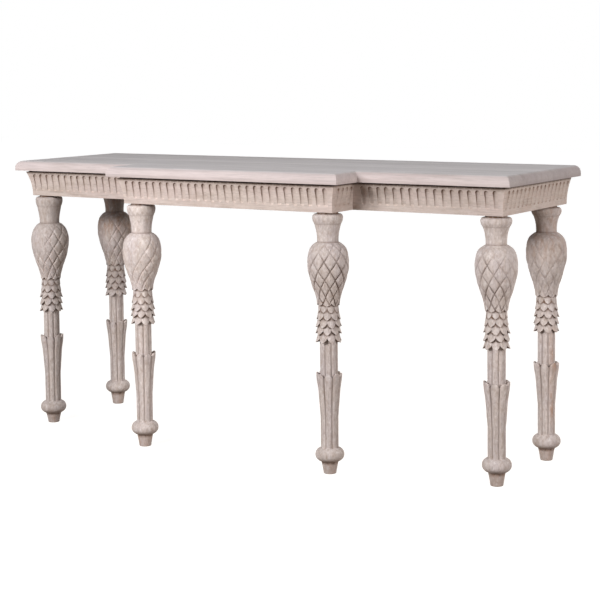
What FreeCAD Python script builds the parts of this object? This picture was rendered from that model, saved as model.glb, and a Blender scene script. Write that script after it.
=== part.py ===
import FreeCAD, Part
import math
import os

# Pier table with a breakfront: a moulded plank top on a fluted, hollow-faced frieze box,
# standing on six turned and carved legs. Millimetres, +Z up, +Y towards the wall.
# The origin is on the floor under the middle of the top's footprint.

os.makedirs("parts", exist_ok=True)
V = FreeCAD.Vector

# ---- driving dimensions -------------------------------------------------------------------
table_length = 1750.0
table_height = 860.0
flank_depth = 484.0            # top, front to back, beside the breakfront
breakfront_length = 814.0
breakfront_projection = 114.0
top_thickness = 31.0
frieze_height = 82.0
frieze_inset = 39.0            # edge of the top to the foot of the frieze
rear_inset = 12.0              # the back stands nearly flush, for use against a wall
leg_setback = 36.0             # foot of the frieze to the leg's axis
rear_leg_setback = 63.0        # back of the frieze to a rear leg's axis

# ---- top ----------------------------------------------------------------------------------
ovolo_radius = 21.0
main_boards = 5
first_board_width = 82.0       # the other main boards share the rest of the depth equally
tongue_thickness = 6.0
tongue_width = 20.0
tongue_end_stop = 60.0         # tongues stop this far inside the moulded ends
tongue_gap = 0.2               # left all round a tongue for glue

# ---- frieze -------------------------------------------------------------------------------
board_foot_thickness = 15.0
hollow_flare = 16.8            # how far the hollow face leans out at its top
flute_pitch = 25.9
flute_radius = 7.5
flute_depth = 5.0
flute_top_stop = 10.0
flute_foot_stop = 19.0
corner_margin = 18.0           # corner of the frieze to the first flute's centre line
rail_thickness = 20.0
rail_foot_clearance = 5.0      # cross rails stay above the frieze's lower edge
stub_length = 8.0              # stub tenons and the grooves that hold them
stub_thickness = 8.0
stub_gap = 0.2
spline_thickness = 3.0
spline_width = 12.0
spline_gap = 0.1
block_size = 60.0
block_lap = 24.0               # the centre blocks run this far under the first main board
joint_foot_stop = 12.0         # tenons and splines stop this far above the frieze's foot

# ---- legs: heights and radii of the turned sections from the floor up -----------------------
toe_height = 37.0
toe_radius = 18.0
toe_top_radius = 24.3
toe_ease = 1.8                 # small chamfer round the foot's lower edge
ring_height = 41.0
ring_radius = 41.5
calyx_height = 128.0
calyx_radius = 37.6
leaf_thickness = 3.6
leaf_notch_depth = 18.0
leaf_pocket_depth = 22.0       # hollow between the leaf tips and the shaft
scale_rows = 5
scale_row_height = 21.5
scale_tip_radius = 37.4
scale_crown_step = 2.5         # the two uppermost rows stand out less, each by this much
scale_valley_radius = 28.6
waist_radius = 30.2
bulb_height = 183.5
bulb_radius = 58.4
bulb_shoulder_radius = 33.4
neck_height = 51.0
neck_radius = 29.7
collar_height = 29.0
collar_radius = 43.6
collar_foot_radius = 38.2
collar_top_radius = 38.6
shoulder_height = 3.0          # small raised seat that meets the frieze's foot
shoulder_radius = 35.0
shaft_radius = 25.0
reeds = 8
reed_depth = 2.9
spigot_radius = 14.0
spigot_length = 52.0
spigot_gap = 0.2
socket_relief = 2.0            # empty depth above the spigot

# ---- screws -------------------------------------------------------------------------------
screw_radius = 2.5
screw_head_radius = 5.0
screw_head_height = 3.0
screw_grip = 26.0              # wood between the screw head and the top
screw_bite = 17.0              # thread inside the top
screw_gap = 0.3
screw_tip_length = 4.0
screw_side_margin = 11.0
screw_end_margin = 14.0

# ---- derived levels and lines -----------------------------------------------------------------
top_under = table_height - top_thickness
frieze_foot = top_under - frieze_height
half_length = table_length / 2
half_break = breakfront_length / 2
total_depth = flank_depth + breakfront_projection
flank_front = breakfront_projection - total_depth / 2
break_front = -total_depth / 2
back = total_depth / 2
face_end = half_length - frieze_inset
face_break = half_break - frieze_inset
face_flank = flank_front + frieze_inset
face_centre = break_front + frieze_inset
face_back = back - rear_inset
hollow_radius = (frieze_height ** 2 + hollow_flare ** 2) / (2 * hollow_flare)
inner_margin = corner_margin + flute_pitch
leg_x = face_end - leg_setback
leg_break_x = face_break - leg_setback
leg_flank_y = face_flank + leg_setback
leg_break_y = face_centre + leg_setback
leg_back_y = face_back - rear_leg_setback


def box(low, high):
    """Box between two opposite corners."""
    size = high - low
    return Part.makeBox(size.x, size.y, size.z, low)


def prism(points, height):
    """Upright prism over a closed plan outline."""
    wire = Part.makePolygon(points + [points[0]])
    return Part.Face(wire).extrude(V(0, 0, height))


def write(name, solids):
    """Writes one node: a single solid, or a group of loose identical ones."""
    shape = solids[0] if len(solids) == 1 else Part.makeCompound(solids)
    shape.exportStep("parts/" + name + ".step")


def one_solid(shape):
    """The only solid of a cut or fused shape."""
    return shape.removeSplitter().Solids[0]


# ==== top ==================================================================================

def moulded_profile(span, moulded_far_end):
    """Upright section of the slab along one direction: u across, v up, ovolo on the ends."""
    inset = ovolo_radius * (1 - 0.5 ** 0.5)
    fascia = top_thickness - ovolo_radius
    near_crest = V(ovolo_radius, top_thickness, 0)
    near_curve = Part.Arc(V(0, fascia, 0), V(inset, top_thickness - inset, 0), near_crest)
    edges = [near_curve.toShape()]
    if moulded_far_end:
        far_crest = V(span - ovolo_radius, top_thickness, 0)
        far_edge = V(span, fascia, 0)
        far_curve = Part.Arc(far_crest, V(span - inset, top_thickness - inset, 0), far_edge)
        edges.append(Part.makeLine(near_crest, far_crest))
        edges.append(far_curve.toShape())
    else:
        far_edge = V(span, top_thickness, 0)
        edges.append(Part.makeLine(near_crest, far_edge))
    edges.append(Part.makeLine(far_edge, V(span, 0, 0)))
    edges.append(Part.makeLine(V(span, 0, 0), V(0, 0, 0)))
    edges.append(Part.makeLine(V(0, 0, 0), V(0, fascia, 0)))
    return Part.Face(Part.Wire(edges))


def moulded_slab(length, depth):
    """Slab with an ovolo on its front and both ends, square at the back, front left foot at 0."""
    along = moulded_profile(length, True)
    along.rotate(V(0, 0, 0), V(1, 0, 0), 90)
    along = along.extrude(V(0, -depth, 0))
    along.translate(V(0, depth, 0))
    across = moulded_profile(depth, False)
    across.rotate(V(0, 0, 0), V(1, 0, 0), 90)
    across.rotate(V(0, 0, 0), V(0, 0, 1), 90)
    across = across.extrude(V(length, 0, 0))
    return along.common(across)


def board_lines():
    """Glue lines of the main panel from front to back."""
    step = (flank_depth - first_board_width) / (main_boards - 1)
    first_line = flank_front + first_board_width
    return [flank_front] + [first_line + step * i for i in range(main_boards)]


def top_tongue(y, half, gap):
    """Loose tongue across one glue line."""
    middle = top_under + (top_thickness - ovolo_radius / 2) / 2
    low = V(-half - gap, y - tongue_width / 2 - gap, middle - tongue_thickness / 2 - gap)
    high = V(half + gap, y + tongue_width / 2 + gap, middle + tongue_thickness / 2 + gap)
    return box(low, high)


def make_top(screw_places):
    """Front board under the breakfront and the main boards behind it, grooved and bored."""
    main = moulded_slab(table_length, flank_depth)
    main.translate(V(-half_length, flank_front, top_under))
    front = moulded_slab(breakfront_length, breakfront_projection + ovolo_radius * 2)
    front.translate(V(-half_break, break_front, top_under))
    whole = main.fuse(front)
    lines = board_lines()
    reach_main = half_length - tongue_end_stop
    reach_front = half_break - tongue_end_stop
    tongues = [(lines[0], reach_front)] + [(y, reach_main) for y in lines[1:-1]]
    grooves = [top_tongue(y, half, tongue_gap) for y, half in tongues]
    bores = [screw_bore(x, y) for x, y in screw_places]
    whole = whole.cut(grooves + bores)
    spans = [("top_board_front", break_front, lines[0])]
    for i in range(main_boards):
        spans.append(("top_board_" + str(i + 1), lines[i], lines[i + 1]))
    for name, near, far in spans:
        slice_low = V(-half_length - 1, near, top_under - 1)
        slice_high = V(half_length + 1, far, table_height + 1)
        write(name, [one_solid(whole.common(box(slice_low, slice_high)))])
    write("top_tongues", [one_solid(top_tongue(y, half, 0).cut(bores)) for y, half in tongues])


# ==== frieze =================================================================================
# Every hollow-faced board is made lying along +X from 0 to its length, its face towards -Y with
# the foot of the face on y = 0, and is then turned into its place.

def hollow_section():
    """Section of a frieze board: upright back, hollow face leaning out towards the top."""
    middle = frieze_height / 2
    middle_out = hollow_radius - math.sqrt(hollow_radius ** 2 - middle ** 2)
    foot = V(0, 0, 0)
    crest = V(0, -hollow_flare, frieze_height)
    face = Part.Arc(foot, V(0, -middle_out, middle), crest).toShape()
    back_top = V(0, board_foot_thickness, frieze_height)
    back_foot = V(0, board_foot_thickness, 0)
    top_line = Part.makeLine(crest, back_top)
    back_line = Part.makeLine(back_top, back_foot)
    foot_line = Part.makeLine(back_foot, foot)
    return Part.Face(Part.Wire([face, top_line, back_line, foot_line]))


def flute(x):
    """Round-ended cutter that follows the hollow face upwards at one place along a board."""
    path_radius = hollow_radius - (flute_radius - flute_depth)
    low = math.asin(flute_foot_stop / path_radius)
    high = math.asin((frieze_height - flute_top_stop - flute_radius) / path_radius)
    centre = V(x, -hollow_radius, 0)
    ends = [centre + V(0, math.cos(a), math.sin(a)) * path_radius for a in (low, high)]
    tangent = V(0, -math.sin(low), math.cos(low))
    disc = Part.Face(Part.Wire(Part.makeCircle(flute_radius, ends[0], tangent)))
    stem = disc.revolve(centre, V(1, 0, 0), math.degrees(high - low))
    return [stem] + [Part.makeSphere(flute_radius, end) for end in ends]


def flute_centres(length, start_margin, end_margin):
    """Evenly spaced centre lines that fill a board between its two margins."""
    run = length - start_margin - end_margin
    gaps = max(1, round(run / flute_pitch))
    return [start_margin + run * i / gaps for i in range(gaps + 1)]


def hollow_board(length, start, end, start_margin, end_margin):
    """Fluted board; start and end are 1 for an outer mitre, -1 for an inner one, 0 for square."""
    reach = 2 * (hollow_flare + board_foot_thickness)
    blank = hollow_section().extrude(V(length + 2 * reach, 0, 0))
    blank.translate(V(-reach, 0, 0))
    plan = [V(-start * reach, -reach, -1), V(length + end * reach, -reach, -1),
            V(length - end * reach, reach, -1), V(start * reach, reach, -1)]
    board = blank.common(prism(plan, frieze_height + 2))
    for x in flute_centres(length, start_margin, end_margin):
        for cutter in flute(x):
            board = board.cut(cutter)
    return board


def place(shape, corner, turn):
    """Turns a board about its own start and sets that start on a plan corner of the frieze."""
    shape.rotate(V(0, 0, 0), V(0, 0, 1), turn)
    shape.translate(V(corner[0], corner[1], frieze_foot))
    return shape


def mitre_key(x, y, turn, gap):
    """Flat spline set across a mitre, open at the top of the boards."""
    low = V(-spline_width / 2 - gap, -spline_thickness / 2 - gap, joint_foot_stop - gap)
    high = V(spline_width / 2 + gap, spline_thickness / 2 + gap, frieze_height)
    key = box(low, high)
    key.rotate(V(0, 0, 0), V(0, 0, 1), turn)
    key.translate(V(x, y, frieze_foot))
    return key


def mitre_keys(gap):
    """The splines of the four outer and two inner mitres."""
    inward = board_foot_thickness / 2
    keys = []
    for side in (-1, 1):
        corners = [(face_end, face_flank, -1), (face_break, face_centre, -1),
                   (face_break, face_flank, -1)]
        for x, y, towards_middle in corners:
            spot_x = side * (x + towards_middle * inward)
            keys.append(mitre_key(spot_x, y + inward, side * 45, gap))
    return keys


def stub(low, high, gap):
    """Stub tenon, or with a gap the groove for it, between two plan corners."""
    z_low = frieze_foot + joint_foot_stop
    z_high = top_under
    return box(V(low[0] - gap, low[1] - gap, z_low - gap), V(high[0] + gap, high[1] + gap, z_high))


def rear_stubs(gap):
    """Stubs at the two ends of the rear rail."""
    shoulder = face_end - board_foot_thickness
    y = face_back - rail_thickness / 2
    near, far = y - stub_thickness / 2, y + stub_thickness / 2
    right = stub((shoulder, near), (shoulder + stub_length, far), gap)
    left = stub((-shoulder - stub_length, near), (-shoulder, far), gap)
    return [left, right]


def cross_rail_centre():
    """Distance from the table's middle to a cross rail's own middle."""
    return face_break - board_foot_thickness - rail_thickness / 2


def cross_stubs(side, gap):
    """Stubs at the front and back of one cross rail."""
    x = side * cross_rail_centre()
    near, far = x - stub_thickness / 2, x + stub_thickness / 2
    front_shoulder = centre_block_back()
    back_shoulder = face_back - rail_thickness
    front = stub((near, front_shoulder - stub_length), (far, front_shoulder), gap)
    rear = stub((near, back_shoulder), (far, back_shoulder + stub_length), gap)
    return [front, rear]


def centre_block_back():
    """Rear face of the centre blocks, which tie the front board to the main panel."""
    return flank_front + block_lap


def make_frieze():
    """Seven fluted boards, mitred into one breakfront outline, with grooves for their joints."""
    end_length = face_back - face_flank
    flank_length = face_end - face_break
    return_length = face_flank - face_centre
    centre_length = 2 * face_break
    slots = mitre_keys(spline_gap) + rear_stubs(stub_gap)
    edge = corner_margin
    flute_foot = corner_margin + flute_radius
    runs = [
        ("frieze_end_left", end_length, 0, 1, edge, edge, (-face_end, face_back), -90),
        ("frieze_left", flank_length, 1, -1, edge, inner_margin, (-face_end, face_flank), 0),
        ("frieze_return_left", return_length, -1, 1, flute_foot, edge,
         (-face_break, face_flank), -90),
        ("frieze_centre", centre_length, 1, 1, edge, edge, (-face_break, face_centre), 0),
        ("frieze_return_right", return_length, 1, -1, edge, flute_foot,
         (face_break, face_centre), 90),
        ("frieze_right", flank_length, -1, 1, inner_margin, edge, (face_break, face_flank), 0),
        ("frieze_end_right", end_length, 1, 0, edge, edge, (face_end, face_flank), 90),
    ]
    for name, length, start, end, first, last, corner, turn in runs:
        board = place(hollow_board(length, start, end, first, last), corner, turn)
        write(name, [one_solid(board.cut(slots))])
    write("mitre_splines", mitre_keys(0))


def make_rails(screw_places):
    """Plain rear rail and the two cross rails behind the breakfront."""
    shoulder = face_end - board_foot_thickness
    inner = face_back - rail_thickness
    rail = box(V(-shoulder, inner, frieze_foot), V(shoulder, face_back, top_under))
    rail = rail.fuse(rear_stubs(0))
    grooves = cross_stubs(-1, stub_gap) + cross_stubs(1, stub_gap)
    write("rear_rail", [one_solid(rail.cut(grooves))])
    foot = frieze_foot + rail_foot_clearance
    bores = [screw_bore(x, y) for x, y in screw_places]
    for side, name in ((-1, "cross_rail_left"), (1, "cross_rail_right")):
        x = side * cross_rail_centre()
        low = V(x - rail_thickness / 2, centre_block_back(), foot)
        high = V(x + rail_thickness / 2, inner, top_under)
        cross = box(low, high).fuse(cross_stubs(side, 0))
        write(name, [one_solid(cross.cut(bores))])


# ==== leg blocks =============================================================================

def block_plans():
    """Plan corners of the six corner blocks, with the leg each one holds."""
    inner_end = face_end - board_foot_thickness
    inner_break = face_break - board_foot_thickness
    inner_flank = face_flank + board_foot_thickness
    inner_centre = face_centre + board_foot_thickness
    inner_back = face_back - rail_thickness
    rear_front = leg_back_y - block_size / 2
    plans = []
    for side, word in ((-1, "left"), (1, "right")):
        plans.append(("front_" + word, side, inner_end, inner_flank, inner_flank + block_size,
                      (side * leg_x, leg_flank_y)))
        plans.append(("centre_" + word, side, inner_break, inner_centre, centre_block_back(),
                      (side * leg_break_x, leg_break_y)))
        plans.append(("rear_" + word, side, inner_end, rear_front, inner_back,
                      (side * leg_x, leg_back_y)))
    return plans


def make_blocks(screw_places):
    """Corner blocks, each bored for a leg's spigot and for the screw into the top."""
    bores = [screw_bore(x, y) for x, y in screw_places]
    for name, side, outer, near, far, leg in block_plans():
        xs = sorted([side * outer, side * (outer - block_size)])
        block = box(V(xs[0], near, frieze_foot), V(xs[1], far, top_under))
        socket_radius = spigot_radius + spigot_gap
        socket_depth = spigot_length + socket_relief
        socket = Part.makeCylinder(socket_radius, socket_depth, V(leg[0], leg[1], frieze_foot))
        key_ways = cross_stubs(-1, stub_gap) + cross_stubs(1, stub_gap)
        cutters = [socket] + key_ways + bores
        write("leg_block_" + name, [one_solid(block.cut(cutters))])


# ==== screws =================================================================================

def screw_spots():
    """Plan positions of the screws: one beside each spigot, two along each cross rail."""
    spots = []
    for name, side, outer, near, far, leg in block_plans():
        x = side * (outer - block_size + screw_side_margin)
        holds_front_board = name.startswith("centre")
        y = near + screw_end_margin if holds_front_board else far - screw_end_margin
        spots.append((x, y))
    x = cross_rail_centre()
    run = face_back - rail_thickness - centre_block_back()
    for side in (-1, 1):
        for share in (0.3, 0.75):
            spots.append((side * x, centre_block_back() + run * share))
    return spots


def screw(x, y):
    """Countersunk wood screw, head down in its counterbore, point up in the top."""
    head_level = top_under - screw_grip
    head = Part.makeCone(screw_head_radius, screw_radius, screw_head_height, V(x, y, head_level))
    length = screw_grip - screw_head_height + screw_bite - screw_tip_length
    shank = Part.makeCylinder(screw_radius, length, V(x, y, head_level + screw_head_height))
    tip_level = head_level + screw_head_height + length
    tip = Part.makeCone(screw_radius, 0.4, screw_tip_length, V(x, y, tip_level))
    return one_solid(head.fuse([shank, tip]))


def screw_bore(x, y):
    """Counterbore, countersink and shank hole for one screw."""
    head_level = top_under - screw_grip
    wide = screw_head_radius + screw_gap
    narrow = screw_radius + screw_gap
    well = Part.makeCylinder(wide, head_level - frieze_foot + 1, V(x, y, frieze_foot - 1))
    sink = Part.makeCone(wide, narrow, screw_head_height, V(x, y, head_level))
    shank_height = screw_grip - screw_head_height + screw_bite + screw_gap
    shank = Part.makeCylinder(narrow, shank_height, V(x, y, head_level + screw_head_height))
    return well.fuse([sink, shank])


# ==== legs ===================================================================================

def curve(points):
    """Smooth profile edge through a few (radius, height) points."""
    line = Part.BSplineCurve()
    line.interpolate([V(r, 0, z) for r, z in points])
    return line.toShape()


def turned(edges, low, high):
    """Solid turned from profile edges that run from height low up to height high."""
    first = edges[0].Vertexes[0].Point
    last = edges[-1].Vertexes[-1].Point
    closing = [Part.makeLine(last, V(0, 0, high)), Part.makeLine(V(0, 0, high), V(0, 0, low)),
               Part.makeLine(V(0, 0, low), first)]
    face = Part.Face(Part.Wire(edges + closing))
    return face.revolve(V(0, 0, 0), V(0, 0, 1), 360)


def straight(points):
    """Straight profile edges through (radius, height) points."""
    spots = [V(r, 0, z) for r, z in points]
    return [Part.makeLine(a, b) for a, b in zip(spots, spots[1:])]


def reeded_shaft(low, high):
    """Shaft of eight rounded reeds."""
    notch = shaft_radius - reed_depth
    edges = []
    for i in range(reeds):
        angles = [2 * math.pi * (i + share) / reeds for share in (0, 0.5, 1)]
        radii = [notch, shaft_radius, notch]
        ends = [V(r * math.cos(a), r * math.sin(a), low) for a, r in zip(angles, radii)]
        edges.append(Part.Arc(ends[0], ends[1], ends[2]).toShape())
    return Part.Face(Part.Wire(edges)).extrude(V(0, 0, high - low))


def calyx(low, high):
    """Cup of pointed leaves around the shaft, open at the top, notched between the leaves."""
    height = high - low
    flare = calyx_radius - shaft_radius
    pocket_foot = high - leaf_pocket_depth
    outer = curve([(shaft_radius - 0.4, low), (shaft_radius + flare * 0.08, low + height * 0.24),
                   (shaft_radius + flare * 0.27, low + height * 0.44),
                   (shaft_radius + flare * 0.52, low + height * 0.63),
                   (shaft_radius + flare * 0.79, low + height * 0.83), (calyx_radius, high)])
    lip = straight([(calyx_radius, high), (calyx_radius - leaf_thickness, high),
                    (shaft_radius, pocket_foot)])
    cup = turned([outer] + lip, low, pocket_foot)
    foot = V(shaft_radius + 1, 0, high - leaf_notch_depth)
    half_width = V(0, calyx_radius * math.tan(math.pi / reeds), 0)
    crown = V(shaft_radius + 1, 0, high + 1)
    for i in range(reeds):
        outline = Part.makePolygon([foot, crown + half_width, crown - half_width, foot])
        wedge = Part.Face(outline).extrude(V(calyx_radius, 0, 0))
        wedge.rotate(V(0, 0, 0), V(0, 0, 1), 360.0 * i / reeds)
        cup = cup.cut(wedge)
    return cup


def scales(low, rows):
    """Rows of overlapping scales, each row wider at its lower edge."""
    points = [(shaft_radius - reed_depth, low)]
    for i in range(rows):
        foot = low + scale_row_height * i
        tip = scale_tip_radius - scale_crown_step * max(0, i - (rows - 3))
        lip = tip - (tip - scale_valley_radius) * 0.1
        points.append((tip, foot))
        points.append((lip, foot + scale_row_height * 0.35))
        points.append((scale_valley_radius, foot + scale_row_height))
    return turned(straight(points), low, low + scale_row_height * rows)


def ring(low, high):
    """Flattened ball above the toe."""
    height = high - low
    bulge = ring_radius - shaft_radius
    side = curve([(shaft_radius - 0.6, low), (shaft_radius + bulge * 0.45, low + height * 0.14),
                  (ring_radius, low + height * 0.5),
                  (shaft_radius + bulge * 0.5, high - height * 0.12), (shaft_radius - 0.4, high)])
    return turned([side], low, high)


def bulb(low, high):
    """Egg-shaped bulb, fullest two thirds of the way up."""
    height = high - low
    swell = bulb_radius - waist_radius
    shoulder = bulb_radius - bulb_shoulder_radius
    side = curve([(waist_radius, low), (waist_radius + swell * 0.16, low + height * 0.15),
                  (waist_radius + swell * 0.54, low + height * 0.34),
                  (waist_radius + swell * 0.885, low + height * 0.52),
                  (bulb_radius, low + height * 0.675),
                  (bulb_radius - shoulder * 0.115, low + height * 0.82),
                  (bulb_radius - shoulder * 0.37, low + height * 0.91),
                  (bulb_radius - shoulder * 0.68, low + height * 0.965),
                  (bulb_shoulder_radius, high)])
    return turned([side], low, high)


def neck_and_collar(neck_low, collar_low, seat):
    """Hollow neck opening into a rounded collar, with the seat that meets the frieze."""
    height = collar_low - neck_low
    opening = collar_foot_radius - neck_radius
    hollow = curve([(neck_radius, neck_low), (neck_radius + opening * 0.05, neck_low + height * 0.25),
                    (neck_radius + opening * 0.2, neck_low + height * 0.5),
                    (neck_radius + opening * 0.41, neck_low + height * 0.7),
                    (neck_radius + opening * 0.66, neck_low + height * 0.86),
                    (collar_foot_radius, collar_low)])
    rim = seat - shoulder_height
    round_over = curve([(collar_foot_radius, collar_low),
                        (collar_radius, collar_low + collar_height * 0.5),
                        (collar_top_radius, rim)])
    step = straight([(collar_top_radius, rim), (shoulder_radius + 1, rim),
                     (shoulder_radius, seat)])
    return turned([hollow, round_over] + step, neck_low, seat)


def make_leg():
    """One leg on the Z axis with its collar's shoulder under the frieze."""
    shaft_low = toe_height + ring_height
    collar_low = frieze_foot - collar_height
    neck_low = collar_low - neck_height
    scales_high = neck_low - bulb_height
    scales_low = scales_high - scale_row_height * scale_rows
    calyx_low = (shaft_low + scales_low - calyx_height) / 2 + 2
    foot = straight([(toe_radius - toe_ease, 0), (toe_radius, toe_ease),
                     (toe_top_radius, toe_height)])
    toe = turned(foot, 0, toe_height)
    sections = [
        ring(toe_height, shaft_low),
        reeded_shaft(shaft_low, scales_low),
        calyx(calyx_low, calyx_low + calyx_height),
        scales(scales_low, scale_rows),
        bulb(scales_high, neck_low),
        neck_and_collar(neck_low, collar_low, frieze_foot),
        Part.makeCylinder(spigot_radius, spigot_length, V(0, 0, frieze_foot)),
    ]
    return one_solid(toe.fuse(sections))


def make_legs():
    """Six equal legs, each turned on its axis by its own amount as it was glued in."""
    leg = make_leg()
    turn = 0.0
    for name, side, outer, near, far, spot in block_plans():
        copy = leg.copy()
        copy.rotate(V(0, 0, 0), V(0, 0, 1), turn)
        copy.translate(V(spot[0], spot[1], 0))
        write("leg_" + name, [copy])
        turn += 17.0


places = screw_spots()
make_top(places)
make_frieze()
make_rails(places)
make_blocks(places)
make_legs()
write("top_screws", [screw(x, y) for x, y in places])
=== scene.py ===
import math
import random

import bmesh
import bpy
from mathutils import Euler, Matrix, Vector, noise


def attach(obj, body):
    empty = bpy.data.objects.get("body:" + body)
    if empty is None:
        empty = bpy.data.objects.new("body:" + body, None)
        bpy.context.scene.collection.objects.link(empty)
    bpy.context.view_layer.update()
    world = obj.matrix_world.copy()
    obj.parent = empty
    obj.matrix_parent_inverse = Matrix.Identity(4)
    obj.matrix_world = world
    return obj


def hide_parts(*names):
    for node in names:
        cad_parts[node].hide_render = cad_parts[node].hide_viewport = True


# Breakfront pier table in limed wood: plank top, fluted frieze, six turned and carved legs.
# Sizes in the settings below are millimetres; everything is turned to metres as it is made.

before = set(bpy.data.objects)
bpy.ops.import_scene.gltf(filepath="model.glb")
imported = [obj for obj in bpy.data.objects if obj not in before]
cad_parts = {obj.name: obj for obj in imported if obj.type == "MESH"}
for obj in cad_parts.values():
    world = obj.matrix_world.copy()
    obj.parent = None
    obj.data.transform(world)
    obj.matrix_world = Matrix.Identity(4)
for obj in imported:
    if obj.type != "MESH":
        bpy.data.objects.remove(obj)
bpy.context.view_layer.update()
mm = 0.001
touch = 0.01  # two places nearer than this are one
turn = 2 * math.pi


def mix(a, b, share):
    return a + (b - a) * share


def easeIn(share):
    share = min(1.0, max(0.0, share))
    return share * share * (3 - 2 * share)


def easeFrom(place, start, reach):
    return easeIn((place - start) / reach)


def rampBetween(place, low, rise, high, fall):  # 1 inside, easing to 0 at low and at high
    return easeFrom(place, low, rise) * easeIn((high - place) / fall)


def easeCurve(points):  # smooth line through (place, value) pairs, returned as a function
    xs = [p[0] for p in points]
    ys = [p[1] for p in points]
    last = len(points) - 1
    slopes = []
    for i in range(last + 1):
        a, b = max(i - 1, 0), min(i + 1, last)
        slopes.append((ys[b] - ys[a]) / (xs[b] - xs[a]))

    def value(x):
        if x <= xs[0]:
            return ys[0]
        if x >= xs[-1]:
            return ys[-1]
        i = max(k for k in range(last) if xs[k] <= x)
        span = xs[i + 1] - xs[i]
        t = (x - xs[i]) / span
        return ((2 * t**3 - 3 * t**2 + 1) * ys[i] + (t**3 - 2 * t**2 + t) * span * slopes[i]
                + (3 * t**2 - 2 * t**3) * ys[i + 1] + (t**3 - t**2) * span * slopes[i + 1])
    return value


def smoothNoise(x, y, z, seed=0.0):
    return noise.noise(Vector((x + seed * 7.31, y - seed * 3.17, z + seed * 1.93)))


def layerOf(bm, name, kind="float"):  # a number or a vector kept at each point
    layers = getattr(bm.verts.layers, kind)
    return layers.get(name) or layers.new(name)


# grain: where a point lies in its own plank, along the grain first; cut: dirt and painted shade in
# hollows; tone: how light, partly painted light and shade
def layersOf(bm):
    return layerOf(bm, "grain", "float_vector"), layerOf(bm, "cut"), layerOf(bm, "tone")


def bareLayer(bm):  # how far the lime has rubbed off to bare wood
    return layerOf(bm, "bare")


def grainShift(seed, steps):  # moves the grain, so that no two pieces are alike
    return Vector([seed * step for step in steps])


def isCorner(edge):  # two faces meet here at a clear angle
    return len(edge.link_faces) == 2 and edge.calc_face_angle(0) > 1


def sliceAt(bm, point, normal):
    bmesh.ops.bisect_plane(bm, geom=bm.verts[:] + bm.edges[:] + bm.faces[:], dist=1e-4,
                           plane_co=point, plane_no=normal)


def bevelEdges(bm, edges, offset, segments):
    bmesh.ops.bevel(bm, geom=edges, offset=offset, affect="EDGES", segments=segments,
                    profile=0.5, material=-1)


def setInPlace(bm, turned, place):  # and from millimetres to metres
    bmesh.ops.rotate(bm, verts=bm.verts, cent=(0, 0, 0), matrix=Matrix.Rotation(turned, 3, "Z"))
    bmesh.ops.translate(bm, verts=bm.verts, vec=place)
    bmesh.ops.scale(bm, vec=(mm, mm, mm), verts=bm.verts)


def addObject(name, data):
    added = bpy.data.objects.new(name, data)
    bpy.context.scene.collection.objects.link(added)
    return added


def finishPiece(bm, name, nodes, material, sharpAngle=38):
    bmesh.ops.recalc_face_normals(bm, faces=bm.faces)
    mesh = bpy.data.meshes.new(name)
    bm.to_mesh(mesh)
    bm.free()
    mesh.materials.append(material)
    mesh.shade_smooth()
    mesh.set_sharp_from_angle(angle=math.radians(sharpAngle))
    piece = addObject(name, mesh)
    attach(piece, "root")
    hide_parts(*nodes)
    return piece


class NodeBench:  # short words for building the nodes of a material or of the world
    def __init__(self, holder):
        self.holder = holder
        holder.use_nodes = True
        self.tree = holder.node_tree
        self.tree.nodes.clear()

    def add(self, kind, inputs=None, **values):
        node = self.tree.nodes.new("ShaderNode" + kind)
        for key, value in values.items():
            setattr(node, key, value)
        for key, value in (inputs or {}).items():
            if isinstance(value, bpy.types.NodeSocket):
                self.tree.links.new(value, node.inputs[key])
            else:
                node.inputs[key].default_value = value
        return node

    def attribute(self, name, output="Fac"):
        return self.add("Attribute", attribute_name=name).outputs[output]

    def math(self, operation, a, b=0.0, clamp=False):
        return self.add("Math", {0: a, 1: b}, operation=operation, use_clamp=clamp).outputs[0]

    def between(self, factor, low, high):
        return self.math("ADD", self.math("MULTIPLY", factor, high - low), low)

    def noise(self, vector, scale, detail, roughness=0.5, distortion=0.0, shift=(0, 0, 0)):
        place = self.add("Mapping", {"Vector": vector, "Scale": scale, "Location": shift})
        return self.add("TexNoise", {"Vector": place.outputs[0], "Scale": 1.0, "Detail": detail,
                                     "Roughness": roughness, "Distortion": distortion}).outputs[0]

    def ramp(self, factor, places, colours):
        node = self.add("ValToRGB", {"Fac": factor})
        bar = node.color_ramp
        while len(bar.elements) < len(places):
            bar.elements.new(0.5)
        for element, place, colour in zip(bar.elements, places, colours):
            element.position = place
            element.color = (*colour, 1)
        return node.outputs[0]

    def mask(self, factor, places, first=(0, 0, 0), last=(1, 1, 1)):
        return self.ramp(factor, places, (first, last))

    def blend(self, factor, a, b, kind="MIX"):  # inputs 6 and 7 are this node's colours
        a, b = ((*colour, 1) if isinstance(colour, tuple) else colour for colour in (a, b))
        return self.add("Mix", {0: factor, 6: a, 7: b}, data_type="RGBA", blend_type=kind,
                        clamp_factor=True).outputs[2]

    def wash(self, colour, mask, share, other):  # lays another colour over this one
        return self.blend(self.math("MULTIPLY", mask, share), colour, other)

    def dim(self, colour, share):
        grey = self.add("CombineColor", {0: share, 1: share, 2: share}).outputs[0]
        return self.blend(1.0, colour, grey, "MULTIPLY")

    def shade(self, colour, roughness, height, bumpStrength, bumpDistance, specular=0.35,
              metallic=0.0):
        bump = self.add("Bump", {"Height": height, "Strength": bumpStrength,
                                 "Distance": bumpDistance})
        shader = self.add("BsdfPrincipled", {"Base Color": colour, "Roughness": roughness,
                                             "Normal": bump.outputs[0],
                                             "Specular IOR Level": specular,
                                             "Metallic": metallic})
        self.add("OutputMaterial", {"Surface": shader.outputs[0]})
        return self.holder


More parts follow.
